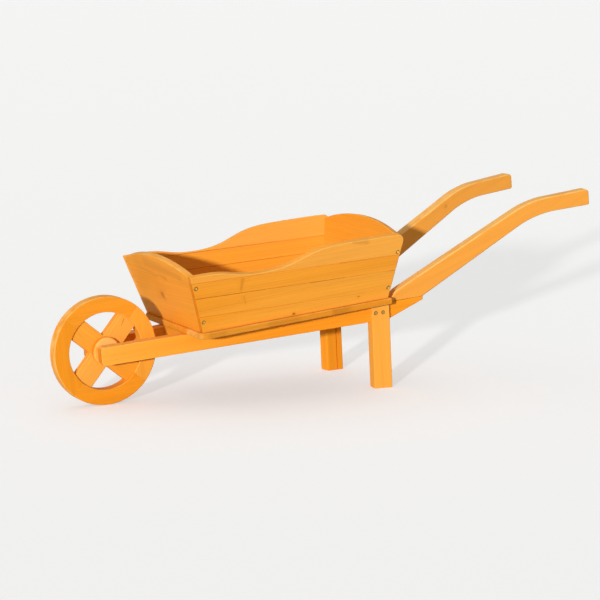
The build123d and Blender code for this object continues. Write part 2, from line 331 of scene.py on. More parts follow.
def make_knot_group():
    """A knot, or a streak of pitch or dirt, and how far it pushes the growth rings aside.

    It runs from one point of the board to another, and adds to the knots that are given.
    """
    tree, given, made = new_group(
        "spruce_knot",
        {"Vector": ["Board", "Start", "Run"], "Float": ["Radius", "Darkness", "Push", "Knot", "Lift"]},
        {"Float": ["Knot", "Lift"]},
    )
    run = given["Run"]
    offset = vectors(tree, "SUBTRACT", given["Board"], given["Start"])
    sums = {0: measure(tree, "DOT_PRODUCT", offset, run), 1: measure(tree, "DOT_PRODUCT", run, run)}
    along = add_node(tree, "Math", sums, operation="DIVIDE", use_clamp=True).outputs[0]
    offset = vectors(tree, "SUBTRACT", offset, scale(tree, run, along))
    offset = vectors(tree, "MULTIPLY", offset, knot_squeeze)
    width = maths(tree, "MULTIPLY", given["Radius"], maths(tree, "MULTIPLY_ADD", along, knot_taper, 1))
    share = maths(tree, "DIVIDE", measure(tree, "LENGTH", offset), width)
    ragged = vary(tree, share, noise(tree, given["Board"], *knot_rag), knot_rag_depth)
    core = maths(tree, "MULTIPLY", ramp(tree, ragged, knot_edge, knot_core), given["Darkness"])
    tree.links.new(maths(tree, "MAXIMUM", core, given["Knot"]), made["Knot"])
    fall = maths(tree, "EXPONENT", maths(tree, "MULTIPLY", maths(tree, "POWER", share, 2), push_fall))
    push = maths(tree, "MULTIPLY", fall, given["Push"])
    tree.links.new(maths(tree, "ADD", push, given["Lift"]), made["Lift"])
    return tree


early_wood = (0.94, 0.415, 0.054, 1)
late_wood = (0.76, 0.235, 0.012, 1)
ruddy_stain = (0.90, 0.305, 0.016, 1)
knot_brown = (0.28, 0.085, 0.006, 1)
pale_wear_and_sheen = (0.93, 0.49, 0.13, 1)
dirt_and_shade_brown = (0.16, 0.045, 0.008, 1)
end_shade = (0.82, 0.69, 0.45, 1)
broad_patches = ((1.6, 11, 11), 2)
wander_patches = ((2.3, 15, 15), 1.5)
dark_streaks = ((2.6, 95, 95), 3, 0.6)
fine_fibres = ((9, 620, 620), 3, 0.65)
short_pores = ((55, 900, 900), 1)
worn_patches = ((28, 60, 60), 2)
dark_spread_patches = ((7, 7, 7), 2)
pore_steps = (0.66, 0.80)
end_steps = (0.55, 0.95)
worn_steps = (0.30, 0.65, 0.1, 0.5)
dark_spread_steps = (0.38, 0.62, 0.15, 0.9)
ring_width = 0.005
ring_wander = 0.016
late_rise = (0.30, 0.88)
late_fall = (1.0, 0.92)
season_pace = 0.33
season_steps = (0.30, 0.70, 0.25, 1.0)
ruddy_depth = 1.1
late_depth = 0.28
shade_least = 0.86
streak_depth = 0.28
fibre_depth = 0.14
pore_depth = -0.10
halo_gain = 45
halo_most = 0.4
matt_least = 0.36
matt_fibre = 0.14
matt_broad = 0.10
matt_end = 0.14
late_height = 0.35
pore_height = -0.6


def make_spruce_group():
    """Stained spruce: rings about the pith, fibres, knots, wear and painted sheen, dirt and painted shade,
    dark end grain.
    """
    tree, given, made = new_group(
        "stained_spruce",
        {
            "Vector": ["Wood"],
            "Float": ["Knot", "Lift", "End Grain", "Arris", "Worn", "Grime", "Tone", "Ruddy"],
        },
        {"Color": ["Color"], "Float": ["Roughness", "Height"]},
    )
    wood = given["Wood"]
    broad = noise(tree, wood, *broad_patches)
    wander = noise(tree, wood, *wander_patches)
    streak = noise(tree, wood, *dark_streaks)
    fibre = noise(tree, wood, *fine_fibres)
    pore = ramp(tree, noise(tree, wood, *short_pores), *pore_steps)

    radius = measure(tree, "LENGTH", vectors(tree, "MULTIPLY", wood, (0, 1, 1)))
    radius = vary(tree, radius, wander, ring_wander)
    rings = maths(tree, "DIVIDE", maths(tree, "ADD", radius, given["Lift"]), ring_width)
    year = maths(tree, "FRACT", rings)
    late = maths(tree, "MULTIPLY", ramp(tree, year, *late_rise), ramp(tree, year, *late_fall))
    seasons = {"W": rings, "Scale": season_pace, "Detail": 0}
    season = add_node(tree, "TexNoise", seasons, noise_dimensions="1D").outputs["Fac"]
    late = maths(tree, "MULTIPLY", late, ramp(tree, season, *season_steps))

    colour = tint(tree, vary(tree, given["Ruddy"], broad, ruddy_depth), early_wood, ruddy_stain)
    colour = tint(tree, maths(tree, "MULTIPLY", late, late_depth), colour, late_wood)
    shade = maths(tree, "MULTIPLY_ADD", streak, streak_depth, shade_least)
    shade = vary(tree, shade, fibre, fibre_depth)
    shade = maths(tree, "MULTIPLY_ADD", pore, pore_depth, shade)
    colour = scale(tree, colour, maths(tree, "ADD", shade, given["Tone"]))
    halo = maths(tree, "MULTIPLY", given["Lift"], halo_gain)
    colour = tint(tree, maths(tree, "MINIMUM", halo, halo_most), colour, late_wood)
    end_grain = ramp(tree, given["End Grain"], *end_steps)
    colour = tint(tree, end_grain, colour, end_shade, "MULTIPLY")
    # Worn corners turn pale, and so do the painted sheen and highlight marked with them.
    patchy = ramp(tree, noise(tree, wood, *worn_patches), *worn_steps)
    worn = maths(tree, "MULTIPLY_ADD", given["Arris"], patchy, given["Worn"])
    colour = tint(tree, worn, colour, pale_wear_and_sheen)
    colour = tint(tree, given["Knot"], colour, knot_brown)
    # Dirt in the joints turns dark brown, and so does the painted shade in the screw holes.
    dark_spread = ramp(tree, noise(tree, wood, *dark_spread_patches), *dark_spread_steps)
    colour = tint(tree, maths(tree, "MULTIPLY", given["Grime"], dark_spread), colour, dirt_and_shade_brown)
    tree.links.new(colour, made["Color"])

    matt = maths(tree, "MULTIPLY_ADD", fibre, matt_fibre, matt_least)
    matt = maths(tree, "MULTIPLY_ADD", broad, matt_broad, matt)
    matt = maths(tree, "MULTIPLY_ADD", end_grain, matt_end, matt)
    tree.links.new(matt, made["Roughness"])
    height = maths(tree, "MULTIPLY_ADD", late, late_height, fibre)
    height = maths(tree, "MULTIPLY_ADD", pore, pore_height, height)
    tree.links.new(height, made["Height"])
    return tree


knot_group = make_knot_group()
spruce_group = make_spruce_group()
pith_ranges = ((0, 9), (0.02, 0.06), (-0.05, 0.05))
grain_lean = 1.5
tone_chance = 0.02
ruddy_chance = 0.06
grain_strength = 0.35
grain_height = 0.0004
stain_ior = 1.46
stain_sheen = 0.03


def knot(start, end, radius, darkness, push=0.0):
    """A knot or streak from one (x, z) of a board to another, and how far it pushes the rings aside."""
    return {
        "Start": (start[0], 0, start[1]),
        "Run": (end[0] - start[0], 0, end[1] - start[1]),
        "Radius": radius,
        "Darkness": darkness,
        "Push": push,
    }


def new_material(name):
    """A material with no nodes yet, and their tree."""
    material = bpy.data.materials.new(name)
    material.use_nodes = True
    material.node_tree.nodes.clear()
    return material, material.node_tree


def coat(tree, finish):
    """Ends the nodes of a material in one shader with these inputs."""
    shader = add_node(tree, "BsdfPrincipled", finish)
    add_node(tree, "OutputMaterial", {"Surface": shader.outputs["BSDF"]})


def stain(piece, place, ruddy, tone=0.0, knots=(), worn=0.0, ends=1.0, drift=0.0):
    """Stains a piece, with its grain along the x of its place, so ruddy and in a lighter or darker tone.

    It is worn pale all over by a share, its end grain takes a share of the dark stain, and it may get
    ruddier along the grain, by a drift for each metre.
    """
    material, tree = new_material(piece.name)
    along = place.col[0].to_3d().normalized()
    across = place.col[2].to_3d().normalized()
    to_board = Matrix((along, across.cross(along), across))
    coordinates = add_node(tree, "TexCoord", {}).outputs
    mapping = {
        "Vector": coordinates["Object"],
        "Location": -(to_board @ place.translation),
        "Rotation": to_board.to_euler(),
    }
    on_board = add_node(tree, "Mapping", mapping).outputs["Vector"]
    chance = random.Random(piece.name)
    pith = [chance.uniform(low, high) for low, high in pith_ranges]
    lean = [0] + [radians(chance.uniform(-grain_lean, grain_lean)) for axis in "yz"]
    mapping = {"Vector": on_board, "Location": pith, "Rotation": lean}
    in_log = add_node(tree, "Mapping", mapping).outputs["Vector"]
    grown = {"Knot": 0.0, "Lift": 0.0}
    for branch in knots:
        inputs = {"Board": on_board, **branch, **grown}
        grown = dict(add_node(tree, "Group", inputs, node_tree=knot_group).outputs.items())
    end_on = measure(tree, "DOT_PRODUCT", coordinates["Normal"], along)
    drifted = measure(tree, "DOT_PRODUCT", on_board, (drift, 0, 0))
    wood = {
        "Wood": in_log,
        "End Grain": maths(tree, "MULTIPLY", maths(tree, "ABSOLUTE", end_on), ends),
        "Arris": add_node(tree, "Attribute", {}, attribute_name="arris").outputs["Fac"],
        "Worn": worn,
        "Grime": add_node(tree, "Attribute", {}, attribute_name="grime").outputs["Fac"],
        "Tone": tone + chance.uniform(-tone_chance, tone_chance),
        "Ruddy": maths(tree, "ADD", drifted, ruddy + chance.uniform(-ruddy_chance, ruddy_chance)),
        **grown,
    }
    spruce = add_node(tree, "Group", wood, node_tree=spruce_group).outputs
    grain = {"Height": spruce["Height"], "Strength": grain_strength, "Distance": grain_height}
    finish = {
        "Base Color": spruce["Color"],
        "Roughness": spruce["Roughness"],
        "Normal": add_node(tree, "Bump", grain).outputs["Normal"],
        "IOR": stain_ior,
        "Specular IOR Level": stain_sheen,
    }
    coat(tree, finish)
    piece.data.materials.append(material)


rail_outline = [
    (-rail_nose, rail_under, rail_nose_round),
    (-rail_nose, rail_top, rail_nose_round),
    (rail_tail, rail_top),
    (rail_tail, rail_top - tail_blunt, tail_round),
    (rail_tail - tail_cut, rail_under),
]
rail_ruddy = 0.15
rail_tone = -0.02
rail_drift = 2.3
rail_top_sheen = 2.0
rail_knots = [knot((handle_toe, rail_top), (rail_tail, rail_top), radius=0.0016, darkness=0.9)]
half_axle = rail_gap / 2 + axle_seat + axle_clearance
through_wheel = Matrix.Translation(axle) @ Matrix.Rotation(pi / 2, 4, "X")
rails = {}
for side, hand in hands.items():
    bm = board(rail_outline, rail_thick)
    ease(bm, broad_edges(bm), timber_easing)
    place = hand @ left_rail
    # The rail's top gets a painted sheen of the sky.
    paint_top_sheen(put(bm, place), rail_top_sheen)
    rail = make_piece(f"rail_{side}", "timber", bm, "frame")
    stain(rail, place, rail_ruddy, rail_tone, rail_knots, drift=rail_drift)
    cut(rail, put(rod(bore_radius, -half_axle, half_axle), through_wheel))
    rails[side] = rail

# Axle: a plain steel rod in blind holes of the rails, of which only a sliver shows beside the hub.
# It is drawn bar, a little dull, with fine marks along it.
drawn_steel_light = (0.62, 0.61, 0.59, 1)
drawn_steel_dark = (0.34, 0.33, 0.31, 1)
drawn_marks = (900, 40, 900)
drawn_roughness = 0.45
mottle_detail = 3
mottle_steps = (0.35, 0.75, 0, 0.3)
rubbed_smooth = -0.15


def make_metal_group():
    """Metal that is mottled between two colours, and bright and smooth where a tool has rubbed it."""
    tree, given, made = new_group(
        "mottled_metal",
        {"Vector": ["Object", "Marks"], "Color": ["Dull", "Bright"], "Float": ["Rubbed", "Roughness"]},
        {"Color": ["Color"], "Float": ["Roughness"]},
    )
    mottle = ramp(tree, noise(tree, given["Object"], given["Marks"], mottle_detail), *mottle_steps)
    shine = maths(tree, "MAXIMUM", given["Rubbed"], mottle)
    tree.links.new(tint(tree, shine, given["Dull"], given["Bright"]), made["Color"])
    tree.links.new(maths(tree, "MULTIPLY_ADD", shine, rubbed_smooth, given["Roughness"]), made["Roughness"])
    return tree


metal_group = make_metal_group()


def metal(name, dull, bright, marks, roughness):
    """A metal between two colours, with so many marks a metre each way."""
    material, tree = new_material(name)
    inputs = {
        "Object": add_node(tree, "TexCoord", {}).outputs["Object"],
        "Marks": marks,
        "Dull": dull,
        "Bright": bright,
        "Rubbed": add_node(tree, "Attribute", {}, attribute_name="rubbed").outputs["Fac"],
        "Roughness": roughness,
    }
    mottled = add_node(tree, "Group", inputs, node_tree=metal_group).outputs
    coat(tree, {"Base Color": mottled["Color"], "Metallic": 1, "Roughness": mottled["Roughness"]})
    return material


def refinish(node, material):
    """Gives a CAD node that stays in view another finish."""
    for slot in frame["nodes"][node].material_slots:
        slot.material = material


refinish("axle", metal("drawn_steel", drawn_steel_dark, drawn_steel_light, drawn_marks, drawn_roughness))

# Wheel rim: four spruce felloes, each sawn from a straight board along its chord, with radial joints.
# They are rounded over inside and out, and glued end to end around the spokes, which sit in their pockets.
# Its radius is a hair small, to stay inside the solid rim's flat facets.
facet_slack = 0.00002
wheel_radius = axle.z - facet_slack
wheel_thick = 0.028
rim_depth = 0.034
rim_steps = 30
spoke_width = 0.048
spoke_thick = 0.018
spoke_seat = 0.010
spoke_turn = radians(51)
wheel_easing = 0.002
joint_easing = 0.0004
felloe_ruddy = (0.75, 1.00, 0.90, 0.20)
felloe_tone = -0.02
tread_wear_and_sheen = 1.8
rim_inner = wheel_radius - rim_depth
spoke_reach = rim_inner + spoke_seat
spoke_turns = (spoke_turn, spoke_turn - pi / 2)
half_spoke = spoke_width / 2
half_spoke_thick = spoke_thick / 2
hub = Matrix.Translation(axle)


def sharp_edges(bm, least=50):
    """The corners of so many degrees that no easing has reached yet."""
    bm.normal_update()
    return [edge for edge in bm.edges if edge.calc_face_angle(0) > radians(least)]


def block(low, high):
    """A rectangular cutter between two corners."""
    bm = bmesh.new()
    bmesh.ops.create_cube(bm, size=1)
    bmesh.ops.scale(bm, vec=Vector(high) - Vector(low), verts=bm.verts[:])
    bmesh.ops.translate(bm, vec=(Vector(low) + Vector(high)) / 2, verts=bm.verts[:])
    return bm


def felloe(start):
    """A quarter of the rim about the axle, from an angle above the x axis."""
    bm = new_shape()
    half = wheel_thick / 2
    section = [(rim_inner, -half), (wheel_radius, -half), (wheel_radius, half), (rim_inner, half)]
    corners = [bm.verts.new((radius * cos(start), y, radius * sin(start))) for radius, y in section]
    end = bm.faces.new(corners)
    whole_end = [end, *end.edges, *end.verts]
    bmesh.ops.spin(bm, geom=whole_end, cent=(0, 0, 0), axis=(0, -1, 0), angle=pi / 2, steps=rim_steps)
    face_outwards(bm)
    arcs = []
    for edge in broad_edges(bm):
        if abs(edge.verts[0].co.length - edge.verts[1].co.length) < wheel_easing:
            arcs.append(edge)
    ease(bm, arcs, wheel_easing)
    ease(bm, sharp_edges(bm), joint_easing, steps=2)
    # The tread is worn pale by rolling, and the same mark also paints a sheen of the sky along it.
    tread = wheel_radius - joint_easing
    mark(bm, "arris", tread_wear_and_sheen, [vert for vert in bm.verts if hypot(vert.co.x, vert.co.z) > tread])
    return bm


for number, ruddy in enumerate(felloe_ruddy):
    start = spoke_turn + number * pi / 2
    rim = make_piece(f"rim_felloe_{number + 1}", "timber", put(felloe(start), hub), "wheel")
    along_chord = hub @ Matrix.Rotation(-start - 3 * pi / 4, 4, "Y")
    stain(rim, along_chord, ruddy, felloe_tone)
    for turn in spoke_turns:
        pocket = block(
            (-spoke_reach, -half_spoke_thick, -half_spoke), (spoke_reach, half_spoke_thick, half_spoke)
        )
        cut(rim, put(pocket, hub @ Matrix.Rotation(-turn, 4, "Y")))

# Spokes: two flat spruce boards, half-lapped into a cross and bored for the axle, with rounded long edges.
# Their ends are glued into the rim's pockets.
lap_sides = (1, -1)
spoke_tone = -0.02
pitch_streak = knot((0.0785, 0.0067), (0.0640, 0.0026), radius=0.0015, darkness=0.55)
spoke_looks = ({"ruddy": 0.20, "worn": 0.18, "knots": [pitch_streak]}, {"ruddy": 0.60, "drift": 2.0})
spoke_outline = [
    (-spoke_reach, -half_spoke),
    (spoke_reach, -half_spoke),
    (spoke_reach, half_spoke),
    (-spoke_reach, half_spoke),
]
for number, lap_side in enumerate(lap_sides):
    bm = board(spoke_outline, spoke_thick)
    ease(bm, [edge for edge in bm.edges if edge.calc_length() > 2 * spoke_width], wheel_easing)
    place = hub @ Matrix.Rotation(-spoke_turns[number], 4, "Y")
    bm = put(bm, place @ Matrix.Translation((0, -half_spoke_thick, 0)))
    spoke = make_piece(f"spoke_bar_{number + 1}", "timber", bm, "wheel")
    stain(spoke, place, tone=spoke_tone, **spoke_looks[number])
    lap = block((-half_spoke, 0, -spoke_width), (half_spoke, lap_side * spoke_thick, spoke_width))
    cut(spoke, put(lap, place))
    cut(spoke, put(rod(bore_radius, -spoke_thick, spoke_thick), place @ Matrix.Rotation(pi / 2, 4, "X")))

# Hub discs: a turned spruce disc on each face of the spokes, which keeps the wheel clear of the rails.
# Each has a bevelled rim and the axle's bore, and is glued on.
hub_radius = 0.031
hub_bevel = 0.003
hub_clearance = 0.0009
hub_easing = 0.0008
hub_steps = 72
hub_grain = radians(24)
hub_ruddy = 0.35
hub_face_highlight = 1.5
hub_thick = rail_gap / 2 - hub_radius * tan(splay) - half_spoke_thick - hub_clearance
hub_profile = [
    (bore_radius, 0),
    (hub_radius, 0),
    (hub_radius, hub_thick - hub_bevel),
    (hub_radius - hub_bevel, hub_thick),
    (bore_radius, hub_thick),
]
for side, outwards in (("left", -1), ("right", 1)):
    bm = turned(hub_profile, closed=True, steps=hub_steps)
    ease(bm, sharp_edges(bm, least=40), hub_easing)
    # The outer face gets a painted highlight: pale along one edge (the top of the left disc as it stands)
    # and fading to none at the other.
    arris = bm.verts.layers.float["arris"]
    for vert in bm.verts:
        if vert.co.z > hub_thick - hub_easing:
            vert[arris] = hub_face_highlight * (1 + vert.co.y / hub_radius)
    place = hub @ Matrix.Translation((0, outwards * half_spoke_thick, 0))
    bm = put(bm, place @ Matrix.Rotation(-outwards * pi / 2, 4, "X"))
    disc = make_piece(f"hub_disc_{side}", "timber", bm, "wheel")
    stain(disc, place @ Matrix.Rotation(hub_grain, 4, "Y"), hub_ruddy)

# Legs: two spruce posts, let into the rails' outer faces and notched to bear up under them.
# Each has a relief groove down its inner face and stands flat on the ground.
leg_setback = 0.0118
leg_width = 0.0425
leg_thick = 0.028
leg_proud = 0.009
leg_tongue = 0.014
leg_lean = radians(3)
leg_reach = 0.3
groove_width = 0.003
groove_depth = 0.004
groove_from_back = 0.0155
foot_easing = 0.0008
leg_looks = {"left": {"ruddy": 0.4, "worn": 0.18}, "right": {"ruddy": 0.85, "tone": 0.06}}
on_plane = 1e-7
half_leg = leg_width / 2
housing_depth = leg_tongue - leg_proud
leg_inner = leg_thick - leg_proud
groove_at = half_leg - groove_from_back
leg_at = tray_end / cos(splay) - leg_setback
left_leg = (
    left_rail
    @ Matrix.Translation((leg_at, 0, (rail_under + rail_top) / 2))
    @ Matrix.Rotation(slope - leg_lean, 4, "Y")
)
leg_outline = [
    (-half_leg, -leg_reach),
    (half_leg, -leg_reach),
    (half_leg, leg_reach),
    (-half_leg, leg_reach),
]


def saw(bm, point, normal):
    """Cuts off what lies beyond a plane and closes the cut."""
    everything = bm.verts[:] + bm.edges[:] + bm.faces[:]
    cut_off = bmesh.ops.bisect_plane(
        bm, geom=everything, dist=on_plane, plane_co=point, plane_no=normal, clear_outer=True
    )
    bmesh.ops.holes_fill(bm, edges=of_type(cut_off["geom_cut"], bmesh.types.BMEdge), sides=0)


legs = {}
for side, hand in hands.items():
    bm = board(leg_outline, leg_thick)
    ease(bm, [edge for edge in bm.edges if edge.calc_length() > leg_reach], timber_easing)
    place = hand @ left_leg
    bm = put(bm, place @ Matrix.Translation((0, -leg_proud, 0)))
    saw(bm, deck @ Vector((0, 0, rail_top)), deck.to_3x3() @ Vector((0, 0, 1)))
    saw(bm, (0, 0, 0), (0, 0, -1))
    ease(bm, sharp_edges(bm), foot_easing, steps=2)
    leg = make_piece(f"leg_{side}", "timber", bm, "frame")
    along_grain = place @ Matrix.Rotation(-pi / 2, 4, "Y")
    stain(leg, along_grain, **leg_looks[side])
    notch = block(
        (leg_at - leg_width, housing_depth, rail_under), (leg_at + leg_width, leg_thick, leg_reach)
    )
    cut(leg, put(notch, hand @ left_rail))
    groove = block(
        (groove_at - groove_width / 2, leg_inner - groove_depth, -leg_reach),
        (groove_at + groove_width / 2, leg_inner + groove_depth, leg_reach),
    )
    cut(leg, put(groove, place))
    housing = block((-half_leg, -leg_proud, -leg_width), (half_leg, housing_depth, leg_width))
    cut(rails[side], put(housing, place))
    legs[side] = leg

# Leg screws: two countersunk steel screws through each leg's tongue into the rail, the plating gone dark.
# The cross recesses are rubbed bright by the driver, and the heads sit a little below the wood.
leg_screw_length = 0.034
leg_screws_from_front = (0.010, 0.0275)
screw_head = 0.0043
screw_shank = 0.002
screw_tip = 0.005
screw_steps = 24
head_edge = 0.0003
head_sunk = 0.0005
hole_clearance = 0.0001
hole_over = 0.002
hole_shade = 4
recess_arm = 0.0023
recess_half_width = 0.0006
recess_depth = 0.0016
recess_taper = 0.45
plating_dark = (0.09, 0.06, 0.015, 1)
plating_bright = (0.78, 0.50, 0.13, 1)
plating_spots = (700, 700, 700)
plating_roughness = 0.5
plating = metal("dark_plating", plating_dark, plating_bright, plating_spots, plating_roughness)


def screw(length):
    """A countersunk screw, head just under z = 0 and tip down: a turned blank with a cross recess."""
    cone = screw_head - screw_shank
    blank = [
        (screw_head - head_edge, -head_sunk),
        (screw_head, -head_sunk - head_edge),
        (screw_shank, -head_sunk - head_edge - cone),
        (screw_shank, screw_tip - length),
        (0, -length),
    ]
    bm = turned(blank, steps=screw_steps)
    bm.verts.layers.float.new("rubbed")
    face_rim = [edge for edge in bm.edges if edge.is_boundary]
    arm = (
        (recess_arm, -recess_half_width),
        (recess_arm, recess_half_width),
        (recess_half_width, recess_half_width),
    )
    cross = []
    for quarter in range(4):
        turn = Matrix.Rotation(quarter * pi / 2, 3, "Z")
        for x, y in arm:
            cross.append(bm.verts.new(turn @ Vector((x, y, -head_sunk))))
    recess = bm.faces.new(cross)
    bmesh.ops.bridge_loops(bm, edges=face_rim + list(recess.edges))
    sunk = bmesh.ops.extrude_face_region(bm, geom=[recess, *recess.edges])["geom"]
    sunk_verts = of_type(sunk, bmesh.types.BMVert)
    bmesh.ops.translate(bm, vec=(0, 0, -recess_depth), verts=sunk_verts)
    bmesh.ops.scale(bm, vec=(recess_taper, recess_taper, 1), verts=sunk_verts)
    mark(bm, "rubbed", 1, cross + sunk_verts)
    return bm


def screw_hole(length):
    """The cutter for a countersunk hole, whose cone the head bears on, with painted shade on its walls."""
    mouth = screw_head + head_edge + head_sunk + hole_clearance
    shank = screw_shank + hole_clearance
    hole = [
        (0, hole_over),
        (mouth + hole_over, hole_over),
        (shank, shank - mouth),
        (shank, -length),
        (0, -length),
    ]
    bm = turned(hole, steps=screw_steps)
    # Painted shade darkens the hole's walls, where the countersink lies in shadow.
    mark(bm, "grime", hole_shade, bm.verts)
    return bm


def gather(shape, places):
    """Copies of one shape, which is used up, at each place."""
    mesh = new_mesh("shape", shape)
    bm = bmesh.new()
    for place in places:
        there = len(bm.verts)
        bm.from_mesh(mesh)
        bm.verts.ensure_lookup_table()
        bmesh.ops.transform(bm, matrix=place, verts=bm.verts[there:])
    bpy.data.meshes.remove(mesh)
    return bm


def drive_screws(node, length, places, *wood):
    """Drills the wood at places on the left and their mirror images, and makes the screws there."""
    everywhere = [hand @ place for hand in hands.values() for place in places]
    for piece in wood:
        cut(piece, gather(screw_hole(length), everywhere))
    chance = random.Random(node)
    turned_home = [place @ Matrix.Rotation(chance.uniform(0, pi), 4, "Z") for place in everywhere]
    screws = make_piece(node, "steel", gather(screw(length), turned_home), "frame")
    screws.data.materials.append(plating)


head_outwards = Matrix.Rotation(pi / 2, 4, "X")
leg_screw_places = []
for inset in leg_screws_from_front:
    leg_screw_places.append(left_leg @ Matrix.Translation((inset - half_leg, -leg_proud, 0)) @ head_outwards)
drive_screws("leg_screws", leg_screw_length, leg_screw_places, *legs.values(), *rails.values())

# Handles: two bent spruce handles, sawn from wide boards and glued onto the rails' tails behind the tray.
# Each rises from a bevelled root to a knee and a level grip, well rounded over for the hands.
root_bevel = radians(43.5)
root_height = 0.0215
root_round = 0.008
knee_run = 0.3622
knee_height = 0.176 - facet_slack
knee_round_top = 0.195
knee_round_under = 0.200
handle_heel = 0.001
handle_under_rise = radians(26.5)
grip_length = 0.1495 - facet_slack
grip_depth = 0.0365
grip_rise_top = radians(2.9)
grip_rise_under = radians(1.5)
grip_round_top = 0.009
grip_round_under = 0.005
handle_easing = 0.0035
handle_grain = radians(19)
handle_ruddy = 0.95
handle_worn = 0.3
handle_top_sheen = 2.5
knee_knot = knot((0.941, -0.179), (0.944, -0.179), radius=0.005, darkness=0.30, push=0.006)
handle_looks = {"left": {"tone": -0.06}, "right": {"tone": -0.03, "knots": [knee_knot]}}
knee_reach = handle_toe + knee_run
grip_reach = knee_reach + grip_length
tip_height = knee_height + grip_length * tan(grip_rise_top)
heel = Vector((rail_tail + handle_heel, 0, 0))
tip_under = Vector((grip_reach, 0, tip_height - grip_depth))
knee_under = intersect_line_line(
    heel,
    heel + Vector((cos(handle_under_rise), 0, sin(handle_under_rise))),
    tip_under,
    tip_under + Vector((cos(grip_rise_under), 0, sin(grip_rise_under))),
)[0]
handle_outline = [
    (handle_toe, 0),
    (handle_toe + root_height / tan(root_bevel), root_height, root_round),
    (knee_reach, knee_height, knee_round_top),
    (grip_reach, tip_height, grip_round_top),
    (tip_under.x, tip_under.z, grip_round_under),
    (knee_under.x, knee_under.z, knee_round_under),
    (heel.x, heel.z),
]
left_handle = left_rail @ Matrix.Translation((0, 0, rail_top))
handles = {}
for side, hand in hands.items():
    bm = board(handle_outline, rail_thick)
    off_rail = []
    for edge in broad_edges(bm):
        if sum(vert.co.z for vert in edge.verts) > 2 * handle_easing:
            off_rail.append(edge)
    ease(bm, off_rail, handle_easing, steps=4)
    ease(bm, sharp_edges(bm), joint_easing, steps=2)
    place = hand @ left_handle
    # The handle's top gets a painted sheen of the sky.
    paint_top_sheen(put(bm, place), handle_top_sheen)
    handle = make_piece(f"handle_{side}", "timber", bm, "frame")
    along_grain = place @ Matrix.Rotation(-handle_grain, 4, "Y")
    stain(handle, along_grain, handle_ruddy, worn=handle_worn, **handle_looks[side])
    handles[side] = handle

# Handle dowels: two beech dowels across each joint of rail and handle, hidden inside the wood.
# They are turned rod, unstained and finely flecked, and only their holes are cut here.
dowel_radius = 0.004
dowel_length = 0.024
dowel_first = 0.022
dowel_pitch = 0.032
dowel_clearance = 0.0001
dowels_per_joint = 2
beech_light = (0.62, 0.42, 0.25, 1)
beech_dark = (0.48, 0.29, 0.15, 1)
beech_flecks = ((900, 900, 120), 2)
beech_roughness = 0.6
beech, tree = new_material("beech")
flecks = noise(tree, add_node(tree, "TexCoord", {}).outputs["Object"], *beech_flecks)
coat(tree, {"Base Color": tint(tree, flecks, beech_light, beech_dark), "Roughness": beech_roughness})
refinish("handle_dowels", beech)
half_dowel = dowel_length / 2 + dowel_clearance
for side, hand in hands.items():
    for number in range(dowels_per_joint):
        along = handle_toe + dowel_first + number * dowel_pitch
        place = hand @ left_handle @ Matrix.Translation((along, rail_thick / 2, 0))
        for piece in (rails[side], handles[side]):
            cut(piece, put(rod(dowel_radius + dowel_clearance, -half_dowel, half_dowel), place))

# Floor: four spruce boards glued edge to edge, rounded off as one panel that stands out past the walls.
# It lies on the rails, is drilled for drainage, and is screwed down to them.
floor_thick = 0.014
floor_corner_front = 0.020
floor_corner_back = 0.004
floor_easing = 0.003
floor_boards = 4
floor_ruddy = 0.7
floor_tone = -0.15
floor_ends = 0.0
lip_wear = (1.4, 0.0, 0.0, 0.0)
lip_wear_reach = 0.006
tray_width = 0.292
drain_radius = 0.006
drain_offset = 0.026
drain_rows = 3
floor_top = rail_top + floor_thick
half_foot = tray_width / 2
half_floor = half_foot + floor_lip
floor_start = tray_start - floor_lip
floor_end = tray_end + floor_lip
board_width = 2 * half_floor / floor_boards
left_edge_knots = [
    knot((floor_start + 0.006, 0), (floor_start + 0.006, 0), radius=0.005, darkness=0.5, push=0.004),
    knot((floor_start + 0.004, 0), (floor_start + 0.050, 0), radius=0.024, darkness=0.18),
    knot((floor_start + 0.345, 0), (floor_start + 0.321, 0), radius=0.015, darkness=0.28),
    knot((floor_start + 0.222, 0), (floor_start + 0.164, 0), radius=0.015, darkness=0.20),
]
floor_outline = [
    (floor_start, -half_floor, floor_corner_front),
    (floor_end, -half_floor, floor_corner_back),
    (floor_end, half_floor, floor_corner_back),
    (floor_start, half_floor, floor_corner_front),
]
on_floor = deck @ facing((0, 0, floor_top), (1, 0, 0), (0, 0, -1))


def spread_out(count):
    """Places along the tray, each in the middle of an equal share of its length."""
    return [tray_start + tray_length * (number + 0.5) / count for number in range(count)]


drain_places = []
for x in spread_out(drain_rows):
    for offset in (-drain_offset, drain_offset):
        drain_places.append(deck @ Matrix.Translation((x, offset, rail_top)))
whole_floor = board(floor_outline, floor_thick)
ease(whole_floor, broad_edges(whole_floor), floor_easing)
floor = []
for number in range(floor_boards):
    bm = whole_floor.copy()
    low = -half_floor + number * board_width
    if number > 0:
        saw(bm, (0, 0, low), (0, 0, -1))
    if number < floor_boards - 1:
        saw(bm, (0, 0, low + board_width), (0, 0, 1))
    ease(bm, sharp_edges(bm), joint_easing, steps=2)
    lip = floor_start + lip_wear_reach
    mark(bm, "arris", lip_wear[number], [vert for vert in bm.verts if vert.co.x < lip])
    plank = make_piece(f"floor_board_{number + 1}", "timber", put(bm, on_floor), "frame")
    place = on_floor @ Matrix.Translation((0, 0, low))
    knots = left_edge_knots if number == 0 else ()
    stain(plank, place, floor_ruddy, floor_tone, knots, ends=floor_ends)
    cut(plank, gather(rod(drain_radius, -floor_thick, 2 * floor_thick), drain_places))
    floor.append(plank)
whole_floor.free()

